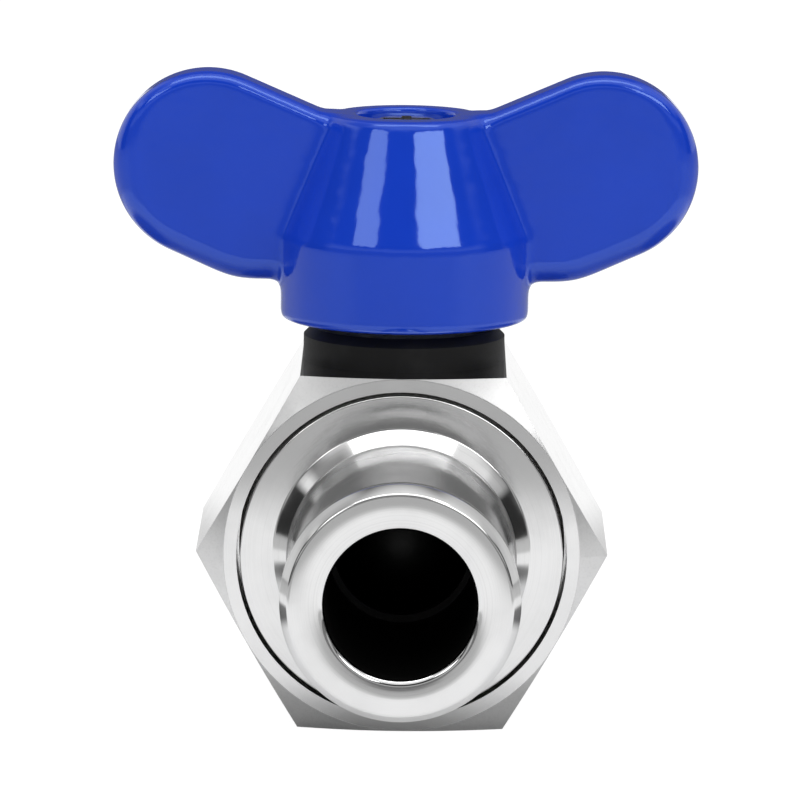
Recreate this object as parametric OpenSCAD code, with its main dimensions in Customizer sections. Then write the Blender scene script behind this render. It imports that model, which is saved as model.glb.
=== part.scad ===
// Two-way ball valve with a hose tail at each end and a two-winged handle.
// X runs across the closed handle, Y along the flow, Z up.
// The origin is the middle of the bottom flat, under the stem.

/* [Hexagon body] */
// Width of the hexagon across its flats
hex_af = 27; // [26:0.5:34]
// Length of the hexagon along the flow
hex_len = 21.5; // [20:0.5:30]
// Angle of the turned corner chamfer, from the end face
hex_chamfer = 30; // [20:5:40]
// Diameter of the neck around the stem packing
neck_d = 11.2; // [10.8:0.1:11.6]
// Reach of the stop lug beyond the neck
lug_reach = 1.8; // [1.2:0.1:1.9]
// Width of the stop lug
lug_w = 2.2; // [1.6:0.1:3]

/* [Hose tails] */
// Length of a hose tail beyond the hexagon
tail_len = 20.5; // [16:0.5:30]
// Diameter of the flat face at the tip
tip_d = 16.2; // [15.2:0.1:17]
// Diameter over the barb crest
crest_d = 17.7; // [17.2:0.1:19]
// Length of the lead-in from the tip to the crest
lead_len = 0.9; // [0.6:0.1:2]
// Length of the round land on the crest
crest_land = 1; // [0.6:0.1:1.5]
// Diameter of the neck behind the barb
waist_d = 16.6; // [15.6:0.1:17]
// Diameter where the tail meets its root cone
root_d = 17.2; // [16.6:0.1:19]
// Length and rise of the cone at the root
root_cone = 1.1; // [0.5:0.1:2]
// Radius of the edge around the tip face
tip_round = 0.3; // [0.1:0.05:0.5]
// Bore of both hose tails
bore_d = 11.1; // [9:0.1:12]
// Chamfer at the mouth of each bore
bore_chamfer = 0.25; // [0.1:0.05:0.6]

/* [Screwed-in end] */
// Diameter of the screwed-in tail where it fills the body
insert_d = 24.8; // [22:0.2:25.2]
// Edge chamfer of the screwed-in tail
insert_edge = 0.2; // [0.1:0.05:0.5]
// Thickness of the ring that seals the screwed-in tail
tail_seal_t = 0.5; // [0.3:0.1:1]

/* [Ball and seats] */
// Diameter of the ball
ball_d = 16; // [15:0.5:17]
// Port through the ball
port_d = 10; // [8:0.5:10.5]
// Thickness of the seat lip at its bore
seat_lip = 1.3; // [1.2:0.1:1.8]
// Length of a seat along the flow
seat_len = 3; // [2.4:0.1:3.2]
// Cord diameter of the ring behind each seat
seat_ring_d = 1; // [0.7:0.1:1.2]

/* [Stem and packing] */
// Diameter of the stem
stem_d = 6; // [5.4:0.1:6.4]
// Diameter of the collar that keeps the stem from blowing out
collar_d = 8.4; // [7.8:0.1:8.6]
// Height of the stem collar
collar_h = 1.4; // [1:0.1:1.8]
// Thickness of the thrust washer
thrust_t = 0.7; // [0.5:0.1:1]
// Thickness of the tang that turns the ball
tang_t = 3; // [2.4:0.1:3.4]
// Width of the tang
tang_w = 6.4; // [5:0.1:6.6]
// Depth of the ball slot that takes the tang
slot_depth = 2.2; // [1.8:0.1:2.4]
// Cord diameter of the ring in the stem groove
stem_ring_d = 0.9; // [0.7:0.1:1]
// Height of one packing ring
packing_h = 1.2; // [0.8:0.1:1.6]
// Outer diameter of the packing rings
packing_d = 8.4; // [7.6:0.1:8.6]
// Height of the gland ring
gland_ring_h = 0.9; // [0.6:0.1:1.4]
// Outer diameter of the gland nut thread
gland_thread_d = 9.2; // [9.1:0.1:9.4]
// Length of the gland nut thread inside the neck
gland_thread_len = 2.6; // [2:0.1:3.4]
// Width of the gland nut across its flats
gland_af = 9.6; // [9.3:0.1:10]
// Height of the gland nut head
gland_head_h = 2.2; // [1.6:0.1:2.6]

/* [Dust collar] */
// Outer diameter of the dust collar
dust_d = 15.4; // [13:0.2:15.4]
// Height of the dust collar
dust_h = 2.5; // [1.5:0.1:2.7]
// Top chamfer of the dust collar
dust_chamfer = 0.65; // [0.2:0.05:1]

/* [Handle hub] */
// Height of the hub above the top flat
handle_lift = 3.1; // [2.8:0.1:5]
// Diameter of the straight lower part of the hub
hub_d = 19; // [18.4:0.2:22]
// Height of the straight lower part
hub_straight_h = 6.4; // [4:0.2:8]
// Whole height of the hub
hub_h = 15.75; // [14.5:0.25:19]
// Diameter of the flat top of the hub
hub_top_d = 11.9; // [10.6:0.1:14]
// Edge radius at the top and bottom of the hub
hub_round = 0.6; // [0.3:0.1:0.8]
// Diameter of the screw recess in the top
recess_d = 7.5; // [7.3:0.1:8.4]
// Depth of the screw recess
recess_depth = 4.6; // [4:0.1:5.6]
// Chamfer around the recess
recess_chamfer = 0.35; // [0.1:0.05:0.6]

/* [Handle wings] */
// Span over both wings
span = 44.7; // [38:0.5:60]
// Radius of the rounded outer lobe of a wing
lobe_r = 7.25; // [5:0.25:7.5]
// Height of the lobe centre above the hub bottom
lobe_lift = 11.75; // [9:0.25:14]
// Height of the straight lower edge above the hub bottom
wing_lift = 2.9; // [2:0.1:4]
// Distance of the lower corner from the stem
wing_heel = 12.5; // [11:0.25:15]
// Radius of the lower corner of a wing
heel_r = 2.5; // [2:0.1:3.5]
// Thickness of a wing
wing_t = 4.6; // [3.4:0.1:6]
// Width of the rounded rim around a wing
rim_w = 1.7; // [0.8:0.1:2.2]

/* [Handle fixing] */
// Width of the square drive on the stem
drive_w = 4.6; // [4.3:0.1:4.9]
// Nominal diameter of the handle screw
screw_d = 3; // [2.5:0.1:3.2]
// Length of the handle screw under its head
screw_len = 8; // [6:0.5:8]
// Diameter of the screw head
head_d = 6; // [5.2:0.1:6.6]
// Height of the screw head
head_h = 2.7; // [2:0.1:2.8]
// Edge radius of the screw head
head_round = 1; // [0.4:0.1:1.4]
// Diameter of the flat washer
washer_d = 7; // [6.6:0.1:7.2]
// Thickness of the flat washer
washer_t = 0.7; // [0.4:0.1:0.8]
// Diameter of the spring washer
spring_washer_d = 6.1; // [5.4:0.1:6.8]
// Thickness of the spring washer
spring_washer_t = 0.8; // [0.5:0.1:0.9]

/* [Clearances] */
// Radial gap of the stem in its bearing
stem_gap = 0.05; // [0.02:0.01:0.1]
// Radial gap of still parts in their bores
fit_gap = 0.05; // [0.02:0.01:0.08]
// Radial gap of the screwed-in tail, seen as a seam
seam_gap = 0.1; // [0.05:0.01:0.2]
// Gap between the ball and its seats
seat_gap = 0.03; // [0.02:0.01:0.08]
// Gap between the turning handle and the still neck parts
turn_gap = 0.5; // [0.4:0.05:0.6]
// Gap between a turning face and a still face
face_gap = 0.3; // [0.2:0.05:0.4]

/* [Hidden] */

// Facets of round shapes, and of the rounded wings
round_fn = 96;
wing_fn = 40;
rim_step = 22.5;
// Overlap that lets a cut break through a face
cut = 1;
quarter_turn = 90;
hexagon_half_corner = 30;

// Small fixed allowances
ball_room = 0.35;
crown_room = 0.4;
seat_bore_step = 0.2;
step_wall = 0.8;
collar_room = 0.1;
tang_neck = 0.7;
packing_sink = 0.6;
ring_room = 0.02;
groove_room = 0.1;
drive_short = 0.4;
tap_room = 0.5;
washer_room = 0.1;
stop_spare_angle = 0.5;

steel = [0.8, 0.8, 0.82];
dark_steel = [0.62, 0.63, 0.65];
blue_coat = [0.09, 0.2, 0.68];
black_rubber = [0.07, 0.07, 0.08];
white_plastic = [0.93, 0.93, 0.9];
black_plastic = [0.11, 0.11, 0.11];

// Flow axis and the faces of the hexagon, with heights above the flow axis
axis_z = hex_af / 2;
top_z = hex_af / 2;
hex_half = hex_len / 2;
hex_corner_r = hex_af / 2 / cos(hexagon_half_corner);
tip_a = hex_half + tail_len;
bore_r = bore_d / 2;

// Places along the flow, measured from the stem
ball_r = ball_d / 2;
seat_bore_r = port_d / 2 + seat_bore_step;
pocket_a = sqrt(pow(ball_r, 2) - pow(seat_bore_r, 2)) + seat_lip;
seat_face_a = pocket_a - seat_len;
pocket_r = ball_r + ball_room;
bore_start_a = ball_r + crown_room;
bore_sink_r = bore_r + (bore_start_a - pocket_a) / 2;
seat_r = pocket_r - fit_gap;
seat_ring_r = (seat_bore_r + seat_r) / 2;
collar_pocket_r = collar_d / 2 + collar_room;
step_a = collar_pocket_r + step_wall;
insert_a = step_a + tail_seal_t;
insert_r = insert_d / 2;

// Heights of the stem and its packing above the flow axis
slot_floor_z = ball_r - slot_depth;
collar_z = ball_r + tang_neck;
thrust_z = collar_z + collar_h;
shoulder_z = thrust_z + thrust_t;
bearing_r = stem_d / 2 + stem_gap;
packing_z = top_z - packing_sink;
upper_packing_z = packing_z + packing_h;
gland_ring_z = upper_packing_z + packing_h;
gland_nut_z = gland_ring_z + gland_ring_h;
neck_top_z = gland_nut_z + gland_thread_len;
gland_head_z = neck_top_z + face_gap;
gland_top_z = gland_head_z + gland_head_h;
packing_bore_r = packing_d / 2 + fit_gap;
neck_thread_r = gland_thread_d / 2 + fit_gap;
neck_r = neck_d / 2;
stem_groove_z = (shoulder_z + packing_z) / 2;
stem_groove_h = stem_ring_d + groove_room;
stem_ring_r = bearing_r - stem_ring_d / 2 - ring_room;
stem_groove_r = stem_ring_r - stem_ring_d / 2 - ring_room;

// Heights of the handle above the flow axis
hub_z = top_z + handle_lift;
hub_top_z = hub_z + hub_h;
recess_z = hub_top_z - recess_depth;
hub_cavity_r = neck_r + turn_gap;
hub_cavity_z = gland_top_z + turn_gap;
lug_r = neck_r + lug_reach;
lug_z = top_z + dust_h + fit_gap;
stop_half_angle = asin(lug_w / 2 / hub_cavity_r) + stop_spare_angle;
stop_r = lug_r + face_gap;
stop_top_z = neck_top_z + face_gap;
drive_z = gland_top_z + face_gap;
drive_top_z = recess_z - drive_short;
spring_washer_z = recess_z + washer_t;
head_z = spring_washer_z + spring_washer_t;
screw_hole_r = screw_d / 2 + fit_gap;
washer_hole_r = screw_d / 2 + washer_room;
cone_angle = atan2(hub_d / 2 - hub_top_d / 2, hub_h - hub_straight_h);

// Places of the wing discs, across the stem and above the flow axis
lobe_x = span / 2 - lobe_r;
lobe_z = hub_z + lobe_lift;
heel_z = hub_z + wing_lift + heel_r;
wing_root_r = 2;
smallest_flat_r = 0.2;
wing_root_x = 4.8;
wing_root_drop = 2.7;
wing_root_top = [wing_root_x, hub_top_z - wing_root_drop];
wing_root_low = [wing_root_x, hub_z + wing_lift + wing_root_r];

// Points of an arc, from one angle to another
function arc(centre, r, from, to, steps = 6) =
    [for (i = [0:steps]) let (turn = from + (to - from) * i / steps) centre + r * [cos(turn), sin(turn)]];

// Rounded edge between a top face and a side that faces along the given angle
function round_edge(corner, r, side_angle = 0) =
    arc(corner - r * [tan((quarter_turn - side_angle) / 2), 1], r, side_angle, quarter_turn);

// Outline of a hose tail from its root to the bore, as radius and distance from the stem
lead_angle = atan2(crest_d / 2 - tip_d / 2, lead_len);
barb_back = (crest_d - waist_d) / 4;
function tail_outline() = concat(
    [[root_d / 2 + root_cone, hex_half],
    [root_d / 2, hex_half + root_cone],
    [waist_d / 2, tip_a - lead_len - crest_land - barb_back],
    [crest_d / 2, tip_a - lead_len - crest_land],
    [crest_d / 2, tip_a - lead_len]],
    round_edge([tip_d / 2, tip_a], tip_round, lead_angle),
    [[bore_r + bore_chamfer, tip_a],
    [bore_r, tip_a - bore_chamfer]]
);

// Puts a shape drawn along +Z on the flow axis, pointing out of the front or the rear end
module to_front() {
    translate([0, 0, axis_z]) rotate([90, 0, 0]) children();
}

module to_rear() {
    translate([0, 0, axis_z]) rotate([-90, 0, 0]) children();
}

module on_stem(z) {
    translate([0, 0, axis_z + z]) children();
}

module ring(outer_r, inner_r, h) {
    difference() {
        cylinder(r = outer_r, h = h, $fn = round_fn);
        translate([0, 0, -cut]) cylinder(r = inner_r, h = h + 2 * cut, $fn = round_fn);
    }
}

module o_ring(r, cord_d) {
    rotate_extrude($fn = round_fn) translate([r, 0]) circle(d = cord_d, $fn = 32);
}

// Hexagonal bar with its corners turned down at both ends
module hexagon_bar() {
    over = hex_corner_r - hex_af / 2 + cut;
    slope = over * tan(hex_chamfer);
    intersection() {
        translate([0, 0, -hex_half]) cylinder(r = hex_corner_r, h = hex_len, $fn = 6);
        rotate_extrude($fn = round_fn) polygon([
            [0, -hex_half],
            [hex_af / 2, -hex_half],
            [hex_af / 2 + over, -hex_half + slope],
            [hex_af / 2 + over, hex_half - slope],
            [hex_af / 2, hex_half],
            [0, hex_half]
        ]);
    }
}

module stop_lug() {
    intersection() {
        on_stem(lug_z) cylinder(r = lug_r, h = neck_top_z - lug_z, $fn = round_fn);
        translate([-lug_w / 2, 0, axis_z + lug_z]) cube([lug_w, lug_r + cut, neck_top_z - lug_z]);
    }
}

module valve_body() {
    color(steel) difference() {
        union() {
            to_rear() hexagon_bar();
            to_rear() rotate_extrude($fn = round_fn)
                polygon(concat([[bore_r, hex_half - cut], [root_d / 2, hex_half - cut]], tail_outline()));
            on_stem(0) cylinder(r = neck_r, h = neck_top_z, $fn = round_fn);
            stop_lug();
        }
        // Flow passage with its sunk inner mouth, ball chamber and the threaded mouth for the front tail
        to_rear() cylinder(r = bore_r, h = hex_half + cut, $fn = round_fn);
        to_rear() translate([0, 0, pocket_a])
            cylinder(r1 = bore_sink_r, r2 = bore_r, h = bore_start_a - pocket_a, $fn = round_fn);
        to_front() translate([0, 0, -pocket_a])
            cylinder(r = pocket_r, h = pocket_a + step_a + cut, $fn = round_fn);
        to_front() translate([0, 0, step_a]) cylinder(r = insert_r + seam_gap, h = hex_half, $fn = round_fn);
        // Stem collar pocket, stem bearing, packing chamber and gland thread
        on_stem(0) cylinder(r = collar_pocket_r, h = shoulder_z, $fn = round_fn);
        on_stem(0) cylinder(r = bearing_r, h = neck_top_z + cut, $fn = round_fn);
        on_stem(packing_z) cylinder(r = packing_bore_r, h = neck_top_z, $fn = round_fn);
        on_stem(gland_nut_z - face_gap) cylinder(r = neck_thread_r, h = neck_top_z, $fn = round_fn);
    }
}

module front_hose_tail() {
    color(steel) to_front() rotate_extrude($fn = round_fn) polygon(concat(
        [[bore_r, bore_start_a],
        [bore_sink_r, pocket_a],
        [pocket_r, pocket_a],
        [pocket_r, insert_a],
        [insert_r, insert_a],
        [insert_r, hex_half - insert_edge],
        [insert_r - insert_edge, hex_half]],
        tail_outline()
    ));
}

module tail_seal() {
    color(white_plastic) to_front() translate([0, 0, step_a]) ring(insert_r, pocket_r + fit_gap, tail_seal_t);
}

module ball() {
    color(dark_steel) on_stem(0) difference() {
        sphere(r = ball_r, $fn = round_fn);
        rotate([0, 90, 0]) cylinder(d = port_d, h = ball_d + 2 * cut, center = true, $fn = round_fn);
        translate([-tang_t / 2 - fit_gap, -ball_r - cut, slot_floor_z])
            cube([tang_t + 2 * fit_gap, ball_d + 2 * cut, ball_r]);
    }
}

// Seat drawn along the flow, with its hollow face towards the ball
module seat() {
    groove_half = seat_ring_d / 2 + fit_gap;
    color(black_plastic) difference() {
        translate([0, 0, seat_face_a]) ring(seat_r, seat_bore_r, seat_len);
        sphere(r = ball_r + seat_gap, $fn = round_fn);
        translate([0, 0, pocket_a - seat_ring_d - fit_gap])
            ring(seat_ring_r + groove_half, seat_ring_r - groove_half, seat_ring_d + cut);
    }
}

module seat_ring() {
    color(black_rubber) translate([0, 0, pocket_a - (seat_ring_d + fit_gap) / 2])
        o_ring(seat_ring_r, seat_ring_d);
}

module front_seat() {
    to_front() seat();
}

module rear_seat() {
    to_rear() seat();
}

module front_seat_ring() {
    to_front() seat_ring();
}

module rear_seat_ring() {
    to_rear() seat_ring();
}

module stem() {
    color(dark_steel) difference() {
        union() {
            on_stem(collar_z) cylinder(d = collar_d, h = collar_h, $fn = round_fn);
            on_stem(collar_z) cylinder(d = stem_d, h = drive_z - collar_z, $fn = round_fn);
            translate([-tang_t / 2, -tang_w / 2, axis_z + slot_floor_z + fit_gap])
                cube([tang_t, tang_w, collar_z - slot_floor_z]);
            intersection() {
                on_stem(collar_z) cylinder(d = stem_d, h = drive_top_z - collar_z, $fn = round_fn);
                translate([-drive_w / 2, -drive_w / 2, axis_z + collar_z])
                    cube([drive_w, drive_w, drive_top_z - collar_z]);
            }
        }
        on_stem(stem_groove_z - stem_groove_h / 2) ring(stem_d, stem_groove_r, stem_groove_h);
        on_stem(head_z - screw_len - tap_room) cylinder(r = screw_hole_r, h = hub_h, $fn = round_fn);
    }
}

module stem_thrust_washer() {
    color(white_plastic) on_stem(thrust_z) ring(collar_d / 2, bearing_r, thrust_t);
}

module stem_ring() {
    color(black_rubber) on_stem(stem_groove_z) o_ring(stem_ring_r, stem_ring_d);
}

module packing_ring() {
    color(white_plastic) ring(packing_d / 2, bearing_r, packing_h);
}

module lower_packing_ring() {
    on_stem(packing_z) packing_ring();
}

module upper_packing_ring() {
    on_stem(upper_packing_z) packing_ring();
}

module gland_ring() {
    color(steel) on_stem(gland_ring_z) ring(packing_d / 2, bearing_r, gland_ring_h);
}

module gland_nut() {
    corner_r = gland_af / 2 / cos(hexagon_half_corner);
    cone_r = corner_r + gland_head_h;
    color(steel) difference() {
        union() {
            on_stem(gland_nut_z) cylinder(d = gland_thread_d, h = gland_top_z - gland_nut_z, $fn = round_fn);
            intersection() {
                on_stem(gland_head_z) cylinder(r = corner_r, h = gland_head_h, $fn = 6);
                on_stem(gland_head_z)
                    cylinder(r1 = cone_r, r2 = gland_af / 2, h = gland_head_h, $fn = round_fn);
            }
        }
        on_stem(gland_nut_z - cut) cylinder(r = bearing_r, h = gland_top_z, $fn = round_fn);
    }
}

module dust_collar() {
    inner_r = neck_r + fit_gap;
    color(black_rubber) on_stem(top_z) rotate_extrude($fn = round_fn) polygon([
        [inner_r, 0],
        [dust_d / 2, 0],
        [dust_d / 2, dust_h - dust_chamfer],
        [dust_d / 2 - dust_chamfer, dust_h],
        [inner_r, dust_h]
    ]);
}

// Flat disc with a rounded rim, lying in the plane of the wings
module wing_disc(place, r) {
    rim = min(rim_w, r - smallest_flat_r);
    outline = concat(
        [[0, -wing_t / 2]],
        [for (t = [-quarter_turn:rim_step:quarter_turn]) [r - rim + rim * cos(t), wing_t / 2 * sin(t)]],
        [[0, wing_t / 2]]
    );
    translate([place[0], 0, axis_z + place[1]]) rotate([90, 0, 0])
        rotate_extrude($fn = wing_fn) polygon(outline);
}

module wing() {
    hull() {
        wing_disc([lobe_x, lobe_z], lobe_r);
        wing_disc([wing_heel, heel_z], heel_r);
        wing_disc(wing_root_top, wing_root_r);
        wing_disc(wing_root_low, wing_root_r);
    }
}

module hub() {
    on_stem(0) rotate_extrude($fn = round_fn) polygon(concat(
        [[0, hub_z]],
        arc([hub_d / 2 - hub_round, hub_z + hub_round], hub_round, -quarter_turn, 0, 4),
        [[hub_d / 2, hub_z + hub_straight_h]],
        round_edge([hub_top_d / 2, hub_top_z], hub_round, cone_angle),
        [[0, hub_top_z]]
    ));
}

module handle() {
    mouth = recess_chamfer + cut;
    color(blue_coat) difference() {
        union() {
            hub();
            wing();
            mirror([1, 0, 0]) wing();
        }
        // Hollow over the neck, and the curved slot in which the stop lug runs
        on_stem(hub_z - cut) cylinder(r = hub_cavity_r, h = hub_cavity_z - hub_z + cut, $fn = round_fn);
        on_stem(hub_z - cut) rotate([0, 0, -stop_half_angle])
            rotate_extrude(angle = quarter_turn + 2 * stop_half_angle, $fn = round_fn)
            translate([hub_cavity_r - cut, 0])
            square([stop_r - hub_cavity_r + cut, stop_top_z - hub_z + cut]);
        // Square drive, screw recess and its chamfer
        translate([-drive_w / 2 - fit_gap, -drive_w / 2 - fit_gap, axis_z + hub_z])
            cube([drive_w + 2 * fit_gap, drive_w + 2 * fit_gap, hub_h]);
        on_stem(recess_z) cylinder(d = recess_d, h = hub_h, $fn = round_fn);
        on_stem(hub_top_z - recess_chamfer)
            cylinder(r1 = recess_d / 2, r2 = recess_d / 2 + mouth, h = mouth, $fn = round_fn);
    }
}

module handle_washer() {
    color(steel) on_stem(recess_z) ring(washer_d / 2, washer_hole_r, washer_t);
}

module handle_spring_washer() {
    split_w = 0.6;
    split_turn = 40;
    color(steel) on_stem(spring_washer_z) difference() {
        ring(spring_washer_d / 2, washer_hole_r, spring_washer_t);
        rotate([0, 0, split_turn]) translate([0, -split_w / 2, -cut])
            cube([washer_d, split_w, spring_washer_t + 2 * cut]);
    }
}

module handle_screw() {
    cross_w = 0.75;
    cross_len = 3.6;
    cross_depth = 1.3;
    color(steel) difference() {
        union() {
            on_stem(head_z - screw_len) cylinder(d = screw_d, h = screw_len + cut, $fn = round_fn);
            on_stem(head_z) rotate_extrude($fn = round_fn) polygon(concat(
                [[0, 0],
                [head_d / 2, 0]],
                round_edge([head_d / 2, head_h], head_round),
                [[0, head_h]]
            ));
        }
        for (turn = [0, quarter_turn])
            on_stem(head_z + head_h - cross_depth) rotate([0, 0, turn])
                translate([-cross_len / 2, -cross_w / 2, 0]) cube([cross_len, cross_w, head_h]);
    }
}

valve_body();
front_hose_tail();
tail_seal();
ball();
front_seat();
rear_seat();
front_seat_ring();
rear_seat_ring();
stem();
stem_thrust_washer();
stem_ring();
lower_packing_ring();
upper_packing_ring();
gland_ring();
gland_nut();
dust_collar();
handle();
handle_washer();
handle_spring_washer();
handle_screw();
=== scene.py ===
"""Looks of a two-winged ball valve with hose tails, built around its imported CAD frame."""

import math

import bpy
from mathutils import Matrix, Vector


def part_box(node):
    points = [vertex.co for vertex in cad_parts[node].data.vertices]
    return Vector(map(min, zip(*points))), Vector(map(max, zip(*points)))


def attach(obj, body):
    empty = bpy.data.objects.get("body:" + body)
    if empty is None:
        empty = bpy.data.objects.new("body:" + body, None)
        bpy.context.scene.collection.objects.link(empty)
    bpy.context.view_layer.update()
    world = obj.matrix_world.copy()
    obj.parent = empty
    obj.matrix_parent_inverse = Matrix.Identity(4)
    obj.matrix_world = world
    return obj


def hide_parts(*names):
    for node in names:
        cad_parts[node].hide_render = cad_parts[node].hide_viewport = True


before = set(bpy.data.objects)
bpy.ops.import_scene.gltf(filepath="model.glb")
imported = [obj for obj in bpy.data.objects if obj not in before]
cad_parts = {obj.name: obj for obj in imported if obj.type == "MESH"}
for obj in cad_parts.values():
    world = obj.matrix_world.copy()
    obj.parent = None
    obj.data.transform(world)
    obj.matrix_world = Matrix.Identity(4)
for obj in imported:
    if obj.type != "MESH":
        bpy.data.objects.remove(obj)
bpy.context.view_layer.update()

bl_info = {
    "name": "Hose tail ball valve",
    "version": (1, 0, 0),
    "blender": (4, 5, 0),
    "location": "3D View > Sidebar > Valve",
    "description": "Builds the visible pieces of a ball valve around its CAD frame",
    "category": "Object",
}

MM = 0.001
VALVE_BODY = "valve"
TURNING_BODY = "turning_set"

# Corners of the frame's nodes, in metres
HANDLE_LOW, HANDLE_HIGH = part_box("handle")
BODY_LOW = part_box("valve_body")[0]
TAIL_LOW, TAIL_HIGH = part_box("front_hose_tail")
SEAL_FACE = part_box("tail_seal")[0].y
SEAT_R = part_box("front_seat")[1].x

# Height of the flow axis over the floor, in metres
FLOW_AXIS_Z = (TAIL_LOW.z + TAIL_HIGH.z) / 2

# Places on the steel, in millimetres: half lengths along the flow, and radii from its axis
HEX_FACE = -BODY_LOW.y / MM
TAIL_TIP = -TAIL_LOW.y / MM
CHAMFER_R = 13.5
CHAMFER_SLOPE = 0.577
NECK_R = 8.7

# The hollows of the handle, in millimetres: radius or half width, and depth or height
RECESS_R, RECESS_DEPTH = 3.75, 4.6
DRIVE_HALF = 2.35
HOLLOW_R, HOLLOW_HEIGHT = 6.1, 5.2
SLOT_R, SLOT_HEIGHT = 7.7, 2.5
SLOT_START, SLOT_END = math.radians(-10.9), math.radians(100.9)

# The front tail, in metres: where its bore begins to flare before the ball, by how much, and
# the gap around the seat
FLARE_START = -8.4 * MM
FLARE = 0.51 * MM
SEAT_GAP = 0.05 * MM
CREST_BACK_SLOPE = math.radians(30)

# The lamps: turn and rise in degrees, distance, width and height in metres, and brightness as
# a share of the stage's box light
SOFT_BOXES = (
    ("Left soft box", -41, 31, 0.6, 0.235, 0.14, 0.6),
    ("Right soft box", 36, 31, 0.6, 0.41, 0.14, 0.95),
    ("Top soft box", 0, 80, 0.7, 0.8, 0.24, 0.55),
)
LAMP_AIM = Vector((0, 0, 0.04))


class Value:
    """The output of a node. Arithmetic on it adds Math nodes to its tree."""

    def __init__(self, graph, socket):
        self.graph = graph
        self.socket = socket

    def __add__(self, other):
        return self.graph.math("ADD", self, other)

    def __radd__(self, other):
        return self.graph.math("ADD", other, self)

    def __sub__(self, other):
        return self.graph.math("SUBTRACT", self, other)

    def __rsub__(self, other):
        return self.graph.math("SUBTRACT", other, self)

    def __mul__(self, other):
        return self.graph.math("MULTIPLY", self, other)

    def __rmul__(self, other):
        return self.graph.math("MULTIPLY", other, self)

    def __truediv__(self, other):
        return self.graph.math("DIVIDE", self, other)

    def __rtruediv__(self, other):
        return self.graph.math("DIVIDE", other, self)

    def __gt__(self, other):
        return self.graph.math("GREATER_THAN", self, other)

    def __lt__(self, other):
        return self.graph.math("LESS_THAN", self, other)

    def __neg__(self):
        return self.graph.math("MULTIPLY", self, -1.0)

    def __abs__(self):
        return self.graph.math("ABSOLUTE", self)


class Graph:
    """Adds nodes to a shader tree or a geometry tree."""

    def __init__(self, tree):
        self.tree = tree

    def node(self, kind, settings=None, sockets=None):
        """A new node. Its settings are set first, then the values or links of its sockets."""
        made = self.tree.nodes.new(kind)
        for name, value in (settings or {}).items():
            if name == "stops":
                self._set_stops(made.color_ramp, value)
            else:
                setattr(made, name, value)
        for key, value in (sockets or {}).items():
            self.connect(made, key, value)
        return made

    def connect(self, node, key, value):
        """Links a value to a node's input, or sets the number there."""
        if isinstance(value, Value):
            self.tree.links.new(value.socket, node.inputs[key])
        else:
            node.inputs[key].default_value = value

    def out(self, kind, settings=None, sockets=None, output=0):
        """One output of a new node, as a value."""
        return Value(self, self.node(kind, settings, sockets).outputs[output])

    def math(self, operation, *terms):
        return self.out("ShaderNodeMath", {"operation": operation}, dict(enumerate(terms)))

    def largest(self, *terms):
        found = terms[0]
        for term in terms[1:]:
            found = self.math("MAXIMUM", found, term)
        return found

    def soft_largest(self, a, b, width):
        return self.math("SMOOTH_MAX", a, b, width)

    def soft_least(self, a, b, width):
        return self.math("SMOOTH_MIN", a, b, width)

    def length(self, a, b):
        return self.math("SQRT", a * a + b * b)

    def ramp_between(self, value, start, end):
        """0 before start, 1 after end, and a smooth rise between them."""
        settings = {"interpolation_type": "SMOOTHSTEP"}
        sockets = {"Value": value, "From Min": start, "From Max": end}
        return self.out("ShaderNodeMapRange", settings, sockets)

    def mix_number(self, factor, a, b):
        return self.out("ShaderNodeMix", {"data_type": "FLOAT"}, {0: factor, 2: a, 3: b})

    def mix_colour(self, factor, a, b):
        return self.out("ShaderNodeMix", {"data_type": "RGBA"}, {0: factor, 6: a, 7: b}, 2)

    def steps(self, value, stops):
        """A number that runs through (value, number) stops."""
        stops = [(place, grey(level)) for place, level in stops]
        return self.out("ShaderNodeValToRGB", {"stops": stops}, {"Fac": value})

    def vector(self, x, y, z):
        return self.out("ShaderNodeCombineXYZ", {}, {0: x, 1: y, 2: z})

    def split(self, vector):
        """The x, y and z of a vector."""
        parts = self.node("ShaderNodeSeparateXYZ", {}, {0: vector})
        return [Value(self, socket) for socket in parts.outputs]

    @staticmethod
    def _set_stops(ramp, stops):
        """stops is a list of (place, colour)."""
        while len(ramp.elements) > 1:
            ramp.elements.remove(ramp.elements[-1])
        ramp.elements[0].position, ramp.elements[0].color = stops[0]
        for place, colour in stops[1:]:
            ramp.elements.new(place).color = colour


def linear(hex_colour):
    """The linear RGBA of an sRGB colour written as six hex digits."""
    parts = [int(hex_colour[i : i + 2], 16) / 255 for i in (0, 2, 4)]
    parts = [c / 12.92 if c <= 0.04045 else ((c + 0.055) / 1.055) ** 2.4 for c in parts]
    return (*parts, 1.0)


def grey(level):
    return (level, level, level, 1.0)


def times(colour, factor):
    """A colour made lighter or darker, with the same alpha."""
    return tuple(c * factor for c in colour[:3]) + (1.0,)


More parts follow.
